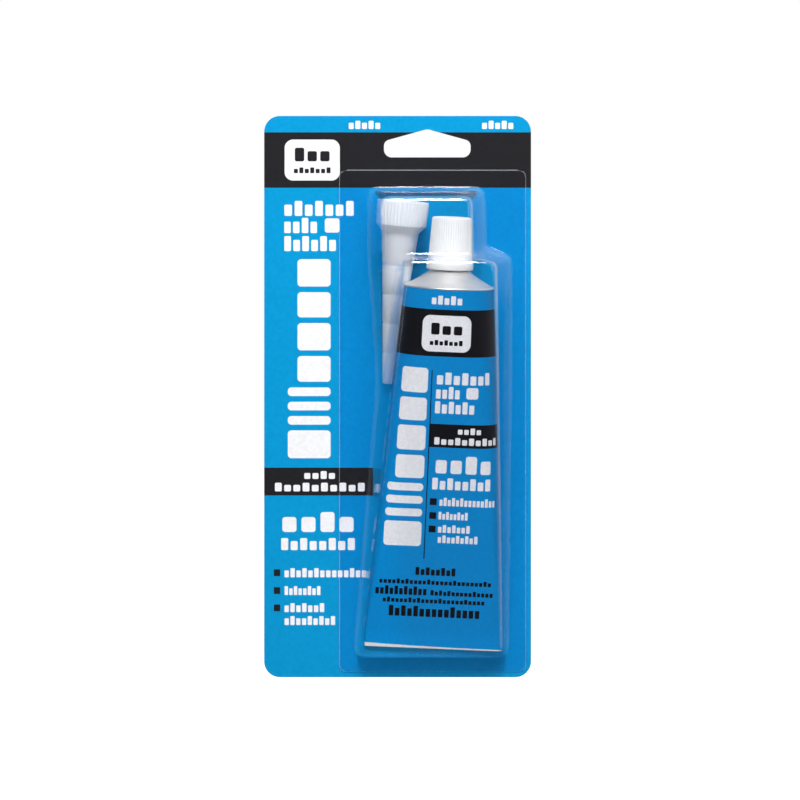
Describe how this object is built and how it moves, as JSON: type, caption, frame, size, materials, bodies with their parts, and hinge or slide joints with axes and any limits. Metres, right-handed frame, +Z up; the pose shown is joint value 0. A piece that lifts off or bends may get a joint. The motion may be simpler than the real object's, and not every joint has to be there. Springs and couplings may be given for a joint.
{
  "type": "carded caulk tube",
  "caption": "Retail caulk pack: a printed card with a hang slot and a clear formed blister that holds a soft aluminium tube with a screw cap and a loose nozzle.",
  "frame": {"origin": "top of the hang slot, where a peg bears, on the card's back face", "axes": "+Z up the card, +X to the card's right as seen from the front, -Y out of the front, +Y out of the card's back"},
  "size_m": [0.1016, 0.0377, 0.2137],
  "materials": {
    "printed_board": "coated board with a gloss print of blue fields, a black band and plain bars",
    "clear_blister": "clear thermoformed sheet, glossy",
    "printed_tube": "soft aluminium with a satin blue print, bare at the shoulder and white at the tail",
    "white_cap": "white moulded plastic with fine flutes",
    "liner_foam": "white foamed sealing disc",
    "milky_nozzle": "milky translucent moulded plastic"
  },
  "bodies": {
    "pack": {"backing_card": "printed_board", "blister": "clear_blister", "tube": "printed_tube", "nozzle": "milky_nozzle"},
    "liner": {"cap_liner": "liner_foam"},
    "cap": {"screw_cap": "white_cap"}
  },
  "joints": [
    {"name": "cap_lift", "type": "slide", "parent": "pack", "child": "liner", "axis": [0.0416, -0.1133, 0.9927], "range_m": [0, 0.00375]},
    {"name": "cap_turn", "type": "hinge", "parent": "liner", "child": "cap", "pos_m": [0.00825, -0.01805, -0.05416], "axis": [0.0416, -0.1133, 0.9927], "range_deg": [0, 541]}
  ],
  "couplings": [
    {"joint": "cap_turn", "follows": "cap_lift", "rad_per_m": 2513.3}
  ]
}
